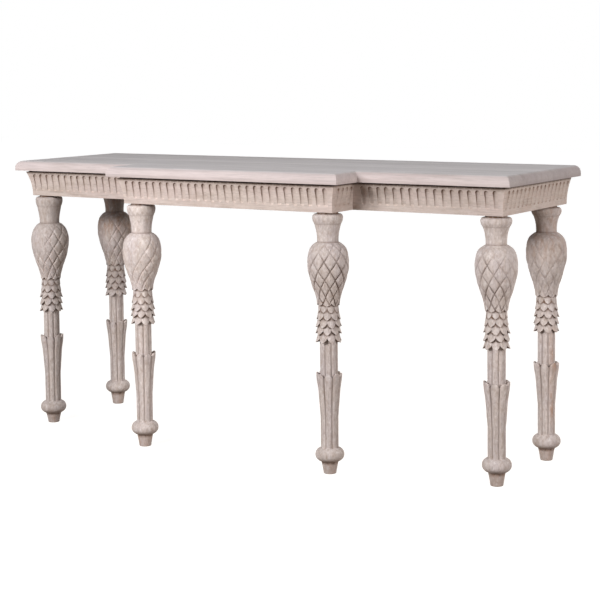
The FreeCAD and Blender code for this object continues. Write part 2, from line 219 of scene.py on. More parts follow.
limeSettings = {  # shared by the limed woods; noise scales run along the grain first
    "figureStops": (0.30, 0.47, 0.66), "flushStops": (0.42, 0.66), "flushShare": 0.6,
    "streak": (1.3, 20, 20), "streakStops": (0.60, 0.76), "poreStops": (0.36, 0.50),
    "upward": (0.80, 0.99), "greyDark": (0.53, 0.515, 0.518), "greyPale": (0.68, 0.662, 0.672),
    "patch": (30, 95, 95), "patchStops": (0.46, 0.62), "patchLeast": (0.3, 0.3, 0.3),
    "mottle": (75, 120, 120), "rubbedStops": (0.34, 0.47), "fleckStops": (0.54, 0.68),
    "dirtShadeGain": 3.2, "dirtShadeLoss": 0.6, "marks": (60, 95, 95),
    "poreBump": 0.5, "figureBump": 0.6, "markBump": 0.7, "bumpReach": 0.0008,
    "blotchShift": (3.1, 1.7, 0.4), "streakShift": (7.7, 2.2, 5.1),
    "patchShift": (1.9, 4.1, 2.6), "mottleShift": (5.3, 0.7, 3.9),
}

# the woods differ in colour, in how worn (mottle, streaks) they are, and in the colour and depth of
# their dirt and painted shade
limedWoods = {
    "topWood": {
        "pale": (0.61, 0.525, 0.51), "middle": (0.555, 0.475, 0.46), "dark": (0.455, 0.38, 0.36),
        "flush": (0.58, 0.485, 0.48), "stainAndShade": (0.20, 0.13, 0.09),
        "figure": (3.0, 34, 34), "pores": (11, 420, 420), "blotch": (2.4, 9, 9),
        "poreDepth": 0.16, "cutDark": 0.55, "bump": 0.25, "roughness": (0.62, 0.80),
        "greyTopAndShade": 0.75, "streaks": 0.25, "bareWood": (0.42, 0.27, 0.19),
        "mottle": 0.08, "thinLime": (0.45, 0.37, 0.345), "thickLime": (0.66, 0.60, 0.58),
    },
    "friezeWood": {
        "pale": (0.57, 0.48, 0.435), "middle": (0.515, 0.43, 0.385), "dark": (0.42, 0.335, 0.285),
        "flush": (0.55, 0.445, 0.415), "stainAndShade": (0.17, 0.10, 0.065),
        "figure": (4.0, 40, 40), "pores": (14, 380, 380), "blotch": (7, 15, 15),
        "poreDepth": 0.18, "cutDark": 0.88, "bump": 0.3, "roughness": (0.66, 0.84),
        "greyTopAndShade": 0.0, "streaks": 0.3, "bareWood": (0.42, 0.25, 0.17),
        "mottle": 0.20, "thinLime": (0.37, 0.285, 0.235), "thickLime": (0.68, 0.62, 0.59),
    },
    "legWood": {
        "pale": (0.60, 0.52, 0.485), "middle": (0.53, 0.455, 0.42), "dark": (0.42, 0.345, 0.305),
        "flush": (0.50, 0.435, 0.435), "stainAndShade": (0.13, 0.075, 0.05),
        "figure": (3.0, 46, 46), "pores": (16, 420, 420), "blotch": (7, 22, 22),
        "poreDepth": 0.2, "cutDark": 0.92, "bump": 0.35, "roughness": (0.66, 0.86),
        "greyTopAndShade": 0.0, "streaks": 0.45, "bareWood": (0.42, 0.23, 0.14),
        "mottle": 0.50, "thinLime": (0.34, 0.255, 0.205), "thickLime": (0.72, 0.665, 0.64),
    },
}


def limedWood(name, s):
    c = limeSettings
    bench = NodeBench(bpy.data.materials.new(name))
    grain = bench.attribute("grain", "Vector")
    cut, tone, bare = (bench.attribute(layer) for layer in ("cut", "tone", "bare"))
    figure = bench.noise(grain, s["figure"], 5.0, 0.62, 0.6)
    pores = bench.noise(grain, s["pores"], 3.0, 0.6)
    blotch = bench.noise(grain, s["blotch"], 3.0, 0.55, shift=c["blotchShift"])
    streak = bench.noise(grain, c["streak"], 2.0, 0.4, 0.3, c["streakShift"])
    colour = bench.ramp(figure, c["figureStops"], (s["dark"], s["middle"], s["pale"]))
    colour = bench.wash(colour, bench.mask(blotch, c["flushStops"]), c["flushShare"], s["flush"])
    colour = bench.wash(colour, bench.mask(streak, c["streakStops"]), s["streaks"], s["dark"])
    if s["greyTopAndShade"]:  # the upper face is painted a flat grey, partly a greyer bleached wood and partly painted shade from the low light; the moulding stays warm
        normal = bench.add("NewGeometry").outputs["Normal"]
        facing = bench.add("SeparateXYZ", {0: normal}).outputs[2]
        grey = bench.mask(figure, c["figureStops"][::2], c["greyDark"], c["greyPale"])
        colour = bench.wash(colour, bench.mask(facing, c["upward"]), s["greyTopAndShade"], grey)
    fine = bench.mask(pores, c["poreStops"])
    colour = bench.dim(colour, bench.between(fine, 1 - s["poreDepth"], 1.0))
    patchy = bench.mask(bench.noise(grain, c["patch"], 3.0, shift=c["patchShift"]),
                        c["patchStops"], c["patchLeast"])
    colour = bench.wash(colour, bare, patchy, s["bareWood"])
    mottle = bench.noise(grain, c["mottle"], 3.0, 0.6, shift=c["mottleShift"])
    rubbed = bench.mask(mottle, c["rubbedStops"], (1, 1, 1), (0, 0, 0))
    colour = bench.wash(colour, rubbed, s["mottle"], s["thinLime"])
    colour = bench.wash(colour, bench.mask(mottle, c["fleckStops"]), s["mottle"], s["thickLime"])
    # the cut layer blends towards the stain colour: dirt, and painted shade in hollows, creases and
    # under edges
    uneven = bench.math("SUBTRACT", bench.math("MULTIPLY", mottle, c["dirtShadeGain"]), c["dirtShadeLoss"])
    dirtAndShade = bench.math("MULTIPLY", bench.math("MULTIPLY", cut, s["cutDark"]), uneven, clamp=True)
    colour = bench.dim(bench.blend(dirtAndShade, colour, s["stainAndShade"]), tone)
    marks = bench.math("MULTIPLY", bench.noise(grain, c["marks"], 2.0), c["markBump"])
    coarse = bench.math("ADD", bench.math("MULTIPLY", figure, c["figureBump"]), marks)
    height = bench.math("ADD", bench.math("MULTIPLY", fine, c["poreBump"]), coarse)
    return bench.shade(colour, bench.between(figure, *s["roughness"]), height, s["bump"],
                       c["bumpReach"])


plainSettings = {  # noise scales: along the grain, then across it
    "figure": (3.0, 38.0), "pores": (14.0, 420.0), "saw": (160.0, 6.0),
    "figureStops": (0.32, 0.64), "poreStops": (0.34, 0.52), "poreDark": (0.72, 0.70, 0.68),
    "roughness": (0.72, 0.87), "sawBump": 0.8, "bump": 0.3, "bumpReach": 0.0006, "specular": 0.3,
    "woods": {  # pale and dark colour, and the axis that the grain runs along
        "railWood": ((0.56, 0.48, 0.435), (0.43, 0.355, 0.31), 0),
        "crossWood": ((0.50, 0.415, 0.345), (0.37, 0.29, 0.23), 1),
        "blockWood": ((0.46, 0.375, 0.305), (0.33, 0.255, 0.20), 2),
    },
}


def plainWood(name, pale, dark, along):  # planed but unlimed inner wood
    s = plainSettings
    bench = NodeBench(bpy.data.materials.new(name))
    place = bench.add("TexCoord").outputs["Object"]

    def noiseOf(key, *values):
        scale = tuple(s[key][0] if i == along else s[key][1] for i in range(3))
        return bench.noise(place, scale, *values)
    figure = noiseOf("figure", 5.0, 0.6, 0.8)
    pores = noiseOf("pores", 3.0, 0.6)
    saw = noiseOf("saw", 1.0)
    colour = bench.mask(figure, s["figureStops"], dark, pale)
    colour = bench.blend(1.0, colour, bench.mask(pores, s["poreStops"], s["poreDark"]), "MULTIPLY")
    height = bench.math("ADD", pores, bench.math("MULTIPLY", saw, s["sawBump"]))
    return bench.shade(colour, bench.between(pores, *s["roughness"]), height, s["bump"],
                       s["bumpReach"], s["specular"])


steelSettings = {
    "tarnish": (240, 240, 240), "tarnishStops": (0.35, 0.65), "dark": (0.22, 0.20, 0.18),
    "pale": (0.46, 0.45, 0.43), "roughness": (0.35, 0.65), "bump": 0.15, "bumpReach": 0.0002,
    "specular": 0.5, "metallic": 0.9,
}


def dullSteel(name, s):
    bench = NodeBench(bpy.data.materials.new(name))
    tarnish = bench.noise(bench.add("TexCoord").outputs["Object"], s["tarnish"], 4.0, 0.6)
    colour = bench.mask(tarnish, s["tarnishStops"], s["dark"], s["pale"])
    return bench.shade(colour, bench.between(tarnish, *s["roughness"]), tarnish, s["bump"],
                       s["bumpReach"], s["specular"], s["metallic"])


topWood, friezeWood, legWood = (limedWood(name, s) for name, s in limedWoods.items())
railWood, crossWood, blockWood = (plainWood(name, *wood)
                                  for name, wood in plainSettings["woods"].items())
screwSteel = dullSteel("screwSteel", steelSettings)
print("materials ready")


topSettings = {
    "halfLength": 875, "halfBreak": 407, "breakFront": -299, "flankFront": -185, "back": 299,
    "under": 829, "fascia": 10, "ovolo": 21, "ovoloCuts": 8, "firstBoard": 82, "mainBoards": 5,
    "arris": 0.9, "jointArris": 0.35,
    "tones": [0.985, 1.03, 0.97, 1.03, 0.965, 1.0],  # front strip first, then front to back
    "endDark": 0.60, "underPaintedShade": 0.25, "grainShift": (3.7, 1.3, 0.9),
}


def ovoloRise(inset):  # height of the quarter round above the slab's underside
    s = topSettings
    if inset < -1e-6:
        return 0.0
    across = min(max(inset, 0.0), s["ovolo"])
    return s["fascia"] + math.sqrt(max(0.0, s["ovolo"]**2 - (s["ovolo"] - across)**2))


def topLevel(x, y):
    s = topSettings
    level = min(ovoloRise(s["halfLength"] - abs(x)), ovoloRise(y - s["flankFront"]))
    if y < s["flankFront"] + s["ovolo"]:
        strip = min(ovoloRise(s["halfBreak"] - abs(x)), ovoloRise(y - s["breakFront"]))
        level = max(level, strip)
    return s["under"] + level


def topBoard(name, near, far, half, insets, shade, seed):
    s = topSettings
    bm = bmesh.new()
    layersOf(bm)
    bmesh.ops.create_cube(bm, size=1)
    high = s["under"] + s["fascia"] + s["ovolo"]
    middle = Vector((0, (near + far) / 2, (s["under"] + high) / 2))
    bmesh.ops.scale(bm, vec=(2 * half, far - near, high - s["under"]), verts=bm.verts)
    bmesh.ops.translate(bm, vec=middle, verts=bm.verts)
    for inset in insets:
        for side in (-1, 1):
            sliceAt(bm, (side * (s["halfLength"] - inset), 0, 0), (1, 0, 0))
            sliceAt(bm, (side * (s["halfBreak"] - inset), 0, 0), (1, 0, 0))
        sliceAt(bm, (0, s["flankFront"] + inset, 0), (0, 1, 0))
        sliceAt(bm, (0, s["breakFront"] + inset, 0), (0, 1, 0))
    corners = [(s["halfLength"], s["flankFront"]), (s["halfBreak"], s["breakFront"]),
               (s["halfBreak"], s["flankFront"])]
    mitre = []
    for vert in bm.verts:
        x, y, z = vert.co
        if z < high - 1:
            continue
        vert.co.z = topLevel(x, y)
        for cornerX, cornerY in corners:
            away = cornerX - abs(x)
            if abs(away - (y - cornerY)) < touch and -touch <= away <= s["ovolo"] + touch:
                mitre.append(vert)
    bmesh.ops.connect_verts(bm, verts=list(set(mitre)))

    def outside(vert):  # on the slab's free outline rather than on a glue line
        x, y = abs(vert.co.x), vert.co.y
        onEnd = x > s["halfLength"] - touch
        onFlank = abs(y - s["flankFront"]) < touch and x > s["halfBreak"] - touch
        onStrip = y < s["flankFront"] + touch and (abs(y - s["breakFront"]) < touch
                                                   or abs(x - s["halfBreak"]) < touch)
        return onEnd or onFlank or onStrip or y > s["back"] - touch

    lower = [e for e in bm.edges if isCorner(e)
             and all(v.co.z < s["under"] + touch and outside(v) for v in e.verts)]
    back = [e for e in bm.edges if all(v.co.y > s["back"] - touch and v.co.z > high - touch
                                       for v in e.verts)]
    joints = [e for e in bm.edges if e not in back and isCorner(e) and all(
        v.co.z > high - touch and (abs(v.co.y - near) < touch or abs(v.co.y - far) < touch)
        for v in e.verts)]
    bevelEdges(bm, lower + back, s["arris"], 2)
    bevelEdges(bm, [e for e in joints if e.is_valid], s["jointArris"], 1)
    bmesh.ops.remove_doubles(bm, verts=bm.verts, dist=touch)
    bmesh.ops.dissolve_degenerate(bm, edges=bm.edges, dist=touch)
    grain, cut, tone = layersOf(bm)
    for vert in bm.verts:
        vert[grain] = vert.co * mm + grainShift(seed, s["grainShift"])
        away = s["halfLength"] - abs(vert.co.x)  # the planks' ends have darkened
        onEnd = away < vert.co.y - s["flankFront"] + 0.1
        endShade = mix(s["endDark"], 1.0, easeIn(away / s["ovolo"])) if onEnd else 1.0
        vert[tone] = shade * endShade
        # painted shade along the slab's underside and the lower edge of its moulding
        vert[cut] = s["underPaintedShade"] if vert.co.z < s["under"] + 1 else 0.0
    bmesh.ops.scale(bm, vec=(mm, mm, mm), verts=bm.verts)
    return finishPiece(bm, name, [name.replace("panel", "board")], topWood, 30)


def makeTop():
    s = topSettings
    steps = s["ovoloCuts"]
    insets = [s["ovolo"] * (1 - math.cos(math.pi / 2 * i / steps)) for i in range(1, steps + 1)]
    step = (s["back"] - s["flankFront"] - s["firstBoard"]) / (s["mainBoards"] - 1)
    lines = [s["flankFront"]]
    lines += [s["flankFront"] + s["firstBoard"] + step * i for i in range(s["mainBoards"])]
    topBoard("top_panel_front", s["breakFront"], lines[0], s["halfBreak"], insets, s["tones"][0], 1)
    for i in range(s["mainBoards"]):
        topBoard("top_panel_" + str(i + 1), lines[i], lines[i + 1], s["halfLength"], insets,
                 s["tones"][i + 1], i + 2)


makeTop()
print("top ready")


friezeSettings = {
    "foot": 747, "height": 82, "flare": 16.8, "thickness": 15, "footArris": 0.8,
    "edge": 836, "breakEdge": 368, "flankLine": -146, "centreLine": -260, "backLine": 287,
    "pitch": 25.9, "cornerMargin": 18.0, "innerMargin": 37.5, "fluteHalf": 7.1, "fluteDepth": 4.6,
    "fluteLow": 23.5, "fluteHigh": 62.0,  # centres of the two round ends above the foot
    "headSteps": 12, "sideSteps": 7, "lips": [(1.12, 0.0), (1.03, 0.06)], "rimDepth": 0.3,
    "walls": [1.0, 0.985, 0.95, 0.87, 0.74, 0.5, 0.0],
    # a groove has steep sides and a deep round head, and runs out softly at its foot
    "steepness": (1.8, 3.2), "steepStart": 0.15, "depthShares": (0.72, 1.15), "roundness": 0.45,
    # the sunk line under the slab, painted dark as shadow, and the band of painted shade below it
    "rebate": 5.0, "rebateDepth": 7.0, "rebateShadeTone": -0.55, "shadeReach": 6.0, "shadeCut": 0.8,
    "shadeTone": -0.45,
    # hand work, as shares of the wobble or of the flute's own size
    "wobble": 0.5, "shift": 0.5, "lean": 0.6, "widths": (-0.04, 0.04), "depths": (-0.10, 0.08),
    "facePlay": 0.25, "faceScale": 0.03,
    # dirt and painted shade against the steep sides, painted shadow under the head, dirt and
    # painted shade in the foot, and a painted highlight in the foot
    "dirtAndShade": 0.05, "wallDirtAndShade": 0.55, "wallPlace": (0.70, 0.2), "wallFoot": 0.15, "wallReach": 0.7,
    "headShadow": 0.4, "headPlace": (0.82, 0.22), "headMiddle": 0.45, "wornHead": 1.3,
    "footDirtAndShade": 0.9, "footReach": 0.14, "footHighlight": 0.22,
    "mitreTone": 1.08, "footTone": 1.05, "bareness": 0.6, "bareBelow": 0.75,
    "grainShift": (2.9, 0.7, 1.1),
}


def hollowOut(z):  # how far the hollow face leans out at a height above its foot
    s = friezeSettings
    radius = (s["height"]**2 + s["flare"]**2) / (2 * s["flare"])
    return radius - math.sqrt(radius**2 - z**2)


def fluteSpine():  # (spine height share, direction) of each point round a flute, from its right
    head, side = friezeSettings["headSteps"], friezeSettings["sideSteps"]
    points = [(1.0, math.pi * i / head) for i in range(head + 1)]
    points += [(1 - i / side, math.pi) for i in range(1, side)]
    points += [(0.0, math.pi + math.pi * i / head) for i in range(head + 1)]
    return points + [(i / side, 0.0) for i in range(1, side)]


def cellEdge(spineZ, direction, left, right, high):  # a line from the spine meets the cell here
    c, d = math.cos(direction), math.sin(direction)
    sides = [(right, c), (left, c), (high - spineZ, d), (-spineZ, d)]
    t = min(far / part for far, part in sides if abs(part) > 1e-9 and far * part > 0)
    return t * c, spineZ + t * d


def snappedCorners(around, left, right):  # the cell's corners, each on the nearest point
    s = friezeSettings
    above, below = s["height"] - s["fluteHigh"], -s["fluteLow"]
    corners = [(math.atan2(above, right), (right, s["height"])),
               (math.atan2(above, left), (left, s["height"])),
               (turn + math.atan2(below, left), (left, 0)),
               (turn + math.atan2(below, right), (right, 0))]
    return {min(range(len(around)), key=lambda k: abs(around[k][1] - angle)): spot
            for angle, spot in corners}


def grooveDepth(share, headward):
    s = friezeSettings
    steep = mix(*s["steepness"], easeIn(headward + s["steepStart"]))
    full = s["fluteDepth"] * mix(*s["depthShares"], easeIn(headward))
    return s["rimDepth"] + full * max(0.0, 1 - share**steep)**s["roundness"]


def grooveShadeAndHighlight(share, headward, carving):  # (dirt and painted shade, painted highlight)
    s = friezeSettings
    wall = easeFrom(share, *s["wallPlace"])
    wall *= mix(s["wallFoot"], 1, easeIn(headward / s["wallReach"]))
    head = easeFrom(headward, *s["headPlace"]) * mix(s["headMiddle"], 1, share)
    foot = easeIn(-headward / s["footReach"])
    worn = 1 - carving  # a worn board keeps dirt and painted shade only at the two ends of its flutes
    dirtAndShade = (s["dirtAndShade"] + s["wallDirtAndShade"] * wall * carving**1.5
            + s["headShadow"] * head * (1 + s["wornHead"] * worn) + s["footDirtAndShade"] * foot * worn)
    return dirtAndShade, s["footHighlight"] * foot * carving


def carveFlute(bm, rng, around, x, left, right, carving):  # one flute and the flat cell round it
    s = friezeSettings
    cut, tone = layersOf(bm)[1:]
    low = s["fluteLow"] + rng.uniform(-1, 1) * s["wobble"]
    high = s["fluteHigh"] + rng.uniform(-1, 1) * s["wobble"]
    shift = rng.uniform(-s["shift"], s["shift"]) * s["wobble"]
    lean = rng.uniform(-s["lean"], s["lean"]) * s["wobble"]
    half = s["fluteHalf"] * (1 + rng.uniform(*s["widths"]))
    deep = carving * (1 + rng.uniform(*s["depths"]))
    snapped = snappedCorners(around, left, right)
    rings = [("cell", 0, 0)] + [("lip", *lip) for lip in s["lips"]]
    rings += [("groove", share, 0) for share in s["walls"]]
    columns, count = len(rings) - 1, len(around)
    before = set(bm.verts)
    bmesh.ops.create_grid(bm, x_segments=columns, y_segments=count, size=0.5)
    for vert in [v for v in bm.verts if v not in before]:
        i = round((vert.co.y + 0.5) * count) % count
        up, direction = around[i]
        kind, share, depth = rings[round((vert.co.x + 0.5) * columns)]
        if kind == "cell":
            nominal = mix(s["fluteLow"], s["fluteHigh"], up)
            spot = snapped.get(i) or cellEdge(nominal, direction, left, right, s["height"])
            vert.co = (x + spot[0], 0, spot[1])
            continue
        level = mix(low, high, up) + half * share * math.sin(direction)
        headward = (level - s["fluteLow"]) / (s["fluteHigh"] - s["fluteLow"])
        if kind == "groove":
            depth = grooveDepth(share, headward)
            vert[cut], vert[tone] = grooveShadeAndHighlight(share, headward, carving)
        drift = shift + lean * (up - 0.5) * 2
        vert.co = (x + drift + half * share * math.cos(direction), depth * deep, level)


def sinkRebate(bm):  # a thin sunk line parts the board from the slab, painted dark as shadow, with painted shade below it
    s = friezeSettings
    cut, tone = layersOf(bm)[1:]
    line = s["height"] - s["rebate"]
    for level in (line - s["shadeReach"], line, line + 0.5):
        sliceAt(bm, (0, 0, level), (0, 0, 1))
    for vert in bm.verts:
        # painted shadow in the sunk line; painted shade in the band just below it
        if vert.co.z > line + 0.3:
            vert.co.y += s["rebateDepth"]
            vert[cut] = 1.0
            vert[tone] = s["rebateShadeTone"]
        elif vert.co.z > line - 0.3:
            vert[cut] = s["shadeCut"]
            vert[tone] = s["shadeTone"]


def bendBoard(bm, length, start, end, seed):  # to the hollow; the two ends follow their mitres
    s = friezeSettings
    tone = layerOf(bm, "tone")
    for vert in bm.verts:
        z = vert.co.z
        onStart, onEnd = abs(vert.co.x) < touch, abs(vert.co.x - length) < touch
        vert[tone] += s["mitreTone"] if onStart or onEnd else s["footTone"] if z < touch else 1.0
        vert.co.y -= hollowOut(z)
        if onStart:
            vert.co.x = start * vert.co.y
        if onEnd:
            vert.co.x = length - end * vert.co.y
        elif not onStart and 0.5 < z < s["height"] - 0.5:
            play = smoothNoise(vert.co.x * s["faceScale"], z * s["faceScale"], 0, seed)
            vert.co.y += s["facePlay"] * play


def closeBack(bm, length, start, end):
    s = friezeSettings
    cut = layerOf(bm, "cut")
    rim = [e for e in bm.edges if e.is_boundary]
    grown = bmesh.ops.extrude_edge_only(bm, edges=rim)["geom"]
    backStart, backEnd = start * s["thickness"], length - end * s["thickness"]
    for vert in (g for g in grown if isinstance(g, bmesh.types.BMVert)):
        front = vert.co.y
        if abs(vert.co.x - start * front) < touch:
            vert.co.x = backStart
        elif abs(vert.co.x - length + end * front) < touch:
            vert.co.x = backEnd
        vert.co.x = min(max(vert.co.x, backStart), backEnd)  # nothing folds past the mitres
        vert.co.y = s["thickness"]
        vert[cut] = 0.0
    bmesh.ops.remove_doubles(bm, verts=bm.verts, dist=touch / 2)
    loose = [e for e in bm.edges if e.is_boundary]
    back = bmesh.ops.holes_fill(bm, edges=loose, sides=0)["faces"]
    bmesh.ops.triangulate(bm, faces=back, quad_method="BEAUTY", ngon_method="BEAUTY")


# start and end: how the two ends lean for their mitres; first and last: the plain margins;
# carving: how crisp the flutes still are
def friezeBoard(name, length, start, end, first, last, corner, facing, shade, carving, seed):
    s = friezeSettings
    rng = random.Random(seed)
    run = length - first - last
    gaps = max(1, round(run / s["pitch"]))
    half = run / gaps / 2
    around = fluteSpine()
    bm = bmesh.new()
    grain, cut, tone = layersOf(bm)
    bare = bareLayer(bm)
    for number in range(gaps + 1):
        x = first + run * number / gaps
        left = -x if number == 0 else -half
        right = length - x if number == gaps else half
        carveFlute(bm, rng, around, x, left, right, carving)
    bmesh.ops.remove_doubles(bm, verts=bm.verts, dist=2 * touch)
    bmesh.ops.dissolve_degenerate(bm, edges=bm.edges, dist=touch)
    sinkRebate(bm)
    bendBoard(bm, length, start, end, seed)
    closeBack(bm, length, start, end)
    bevelEdges(bm, [e for e in bm.edges if isCorner(e) and all(v.co.z < touch and v.co.y < 1
                                                               for v in e.verts)],
               s["footArris"], 2)
    for vert in bm.verts:
        vert[grain] = vert.co * mm + grainShift(seed, s["grainShift"])
        vert[tone] = shade * vert[tone] if vert[tone] else shade
        vert[bare] = s["bareness"] * max(0.0, s["bareBelow"] - carving)
    setInPlace(bm, math.radians(facing), (*corner, s["foot"]))
    return finishPiece(bm, name.replace("frieze", "fluted"), [name], friezeWood, 32)


def makeFrieze():
    s = friezeSettings
    endLength = s["backLine"] - s["flankLine"]
    flankLength = s["edge"] - s["breakEdge"]
    returnLength = s["flankLine"] - s["centreLine"]
    edge, inner = s["cornerMargin"], s["innerMargin"]
    flush = s["cornerMargin"] + s["fluteHalf"]
    e, b, f, c, k = s["edge"], s["breakEdge"], s["flankLine"], s["centreLine"], s["backLine"]
    boards = [
        ("frieze_end_left", endLength, 0, 1, edge, edge, (-e, k), -90, 0.98, 0.5),
        ("frieze_left", flankLength, 1, -1, edge, inner, (-e, f), 0, 1.0, 0.95),
        ("frieze_return_left", returnLength, -1, 1, flush, edge, (-b, f), -90, 0.97, 0.7),
        ("frieze_centre", 2 * b, 1, 1, edge, edge, (-b, c), 0, 1.02, 1.0),
        ("frieze_return_right", returnLength, 1, -1, edge, flush, (b, c), 90, 1.0, 0.5),
        ("frieze_right", flankLength, -1, 1, inner, edge, (b, f), 0, 0.96, 1.0),
        ("frieze_end_right", endLength, 1, 0, edge, edge, (e, f), 90, 0.96, 0.45),
    ]
    for i, board in enumerate(boards):
        friezeBoard(*board, seed=i + 11)


makeFrieze()
print("frieze ready")


legSettings = {
    "columns": 160, "lobes": 8,
    "toe": [(16.4, 0), (17.6, 0.5), (18.1, 2.0), (19.1, 9), (20.8, 18), (22.4, 27), (23.8, 33.6),
            (24.2, 35.8)],
    "ring": [(25.0, 36.6), (28.0, 37.8), (32.0, 40.2), (36.2, 43.8), (39.3, 48.0), (40.9, 52.4),
             (41.2, 56.6), (40.8, 61.2), (39.2, 65.8), (36.4, 69.8), (32.6, 73.0), (29.0, 74.9),
             (26.2, 75.8)],
    "lowerShaft": (25.2, 2.9, [76.6, 80, 89, 103, 120, 135, 150]),
    "upperShaft": (25.2, 3.0, [267, 273, 280, 292, 307, 325, 341, 354, 362]),
    "calyxLow": 164, "calyxHigh": 289.5, "calyxSteps": 20,
    "leafRadius": [(164, 25.2), (180, 26.7), (196, 27.9), (212, 29.1), (228, 30.3), (240, 31.4),
                   (250, 32.8), (260, 34.4), (270, 35.9), (280, 36.8), (291, 37.4)],
    "leafCuts": (2.7, 5.0), "cutGain": 1.3, "leafPower": 3.6, "reedPower": 3.4,
    "leafNotch": 13.0, "notchStart": 0.34, "notchPower": 1.15, "leafThickness": 3.6,
    "leafHead": 0.985, "leafHeadTrim": (0.25, 0.7), "reedDirtAndShade": 0.55, "leafDirtAndShade": 0.6,
    # over the leaves' rims to the ledge: how far below the rim, how far in, dirt and painted shade
    # in the pocket
    "leafLip": [(0.0, -2.4, 0.05), (0.2, -0.2, 0.1), (1.2, 2.2, 0.3), (3.0, 4.4, 0.6)],
    "ledge": (4.5, 20.0, 0.9),
    "tips": [379, 401.5, 422, 442.5, 464, 482.5], "tipRadius": [38.2, 38.4, 37.8, 34.8, 30.4],
    "rootRadius": 27.6, "cusp": 13.5, "hemCusp": 9.0, "hemPlay": 0.4, "tongue": 0.62,
    "tonguePower": 1.25, "flareLength": 35, "flarePower": 0.85, "dome": 3.2, "domePower": 2.4,
    "scaleSteps": 9, "scaleSpan": (0.015, 0.985), "scaleDirtAndShade": (0.55, 0.28), "shaftRise": 1.6,
    # round a scale's edge: how far above the edge, how far in, dirt and painted shade under the
    # edge
    "scaleLip": [(0.25, 1.5, 0.8), (0.0, 0.7, 0.35), (0.5, 0.1, 0.1)],
    "bulb": [(483, 31.0), (498, 33.0), (514, 36.5), (530, 41.3), (546, 46.5), (562, 51.1),
             (578, 55.0), (594, 57.8), (608, 58.4), (620, 58.1), (634, 56.2), (644, 53.3),
             (650, 50.9)],
    "shoulder": [(47.6, 654.8), (44.6, 657.8), (41.0, 660.7), (37.6, 663.1), (34.4, 665.1),
                 (30.6, 666.8)],
    "latticeStarts": 10, "latticeStep": 3.4, "grooveDepth": 3.2, "grooveHalf": 2.6,
    "shallowest": 0.75, "shallowAt": (30, 25), "grooveDirtAndShade": (0.45, 0.9), "grooveShadeFrom": (650, 90),
    "pillow": 1.9, "pillowPower": 0.75, "pillowFull": 50, "shoulderFade": (612, 655),
    "rubbedFrom": (530, 60), "patchScale": (1.3, 0.02), "patchPlay": 0.7, "leastPatch": 0.25,
    "hemRings": 7, "hemRise": 1.2, "bulbTrim": 0.5, "limeGain": 1.35,
    "neck": [(30.3, 667.0), (29.5, 667.6), (29.5, 674), (29.7, 681), (30.6, 690), (32.0, 699),
             (33.9, 706), (35.7, 711.6), (36.9, 715)],
    "collar": [(37.5, 716.2), (38.9, 718), (40.8, 721.2), (42.6, 725.2), (43.5, 730),
               (43.4, 733.6), (42.6, 736.8), (41.0, 739.2), (38.6, 740.8), (35.4, 741.5)],
    "seat": [(31.0, 741.6), (30.2, 744), (30.2, 747)],
    "spigot": [(14.0, 747), (14.0, 798), (13.2, 799)],
    # dirt and painted shade lie below these levels in each of the upper turned parts; the seat's is
    # painted shadow under the frieze
    "upperDirtAndShade": {"neck": (668, 0.5), "collar": (717, 0.25), "seat": (748, 1.0), "spigot": (0, 0)},
    "toeDirtAndShade": (0.12, 0.75), "ringDirtAndShade": (0.75, 37, 16),
    # windows of height: where each starts, over how much it comes in, ends, and goes out
    "upperReach": (345, 30, 742, 50), "scaleToBulb": (484, 110), "ringReach": (10, 24, 160, 80),
    "bulbReach": (490, 60, 655, 30), "neckReach": (655, 12, 730, 30),
    "streakReach": (80, 70, 420, 80), "overBulb": (470, 60), "overNeck": (612, 48),
    "bareFrom": (560, 80), "toeTop": 33, "toeBare": 0.35, "ringBareAndShade": (0.5, 46, 8),
    "streakBare": 0.7, "streakPower": 16, "limeTone": 0.6,
    # hand work: how far, how finely, from which height
    "sway": 0.035, "swayScale": (1.5, 0.022), "swayFrom": (170, 60), "play": 0.3,
    "playScale": (3, 0.05), "scaleRise": (-1.1, 1.1), "scaleGrow": (-0.7, 0.5),
    "leafRise": (-2.2, 1.5), "leafGrow": (-0.5, 0.2), "grainShift": (1.7, 1, 1),
}
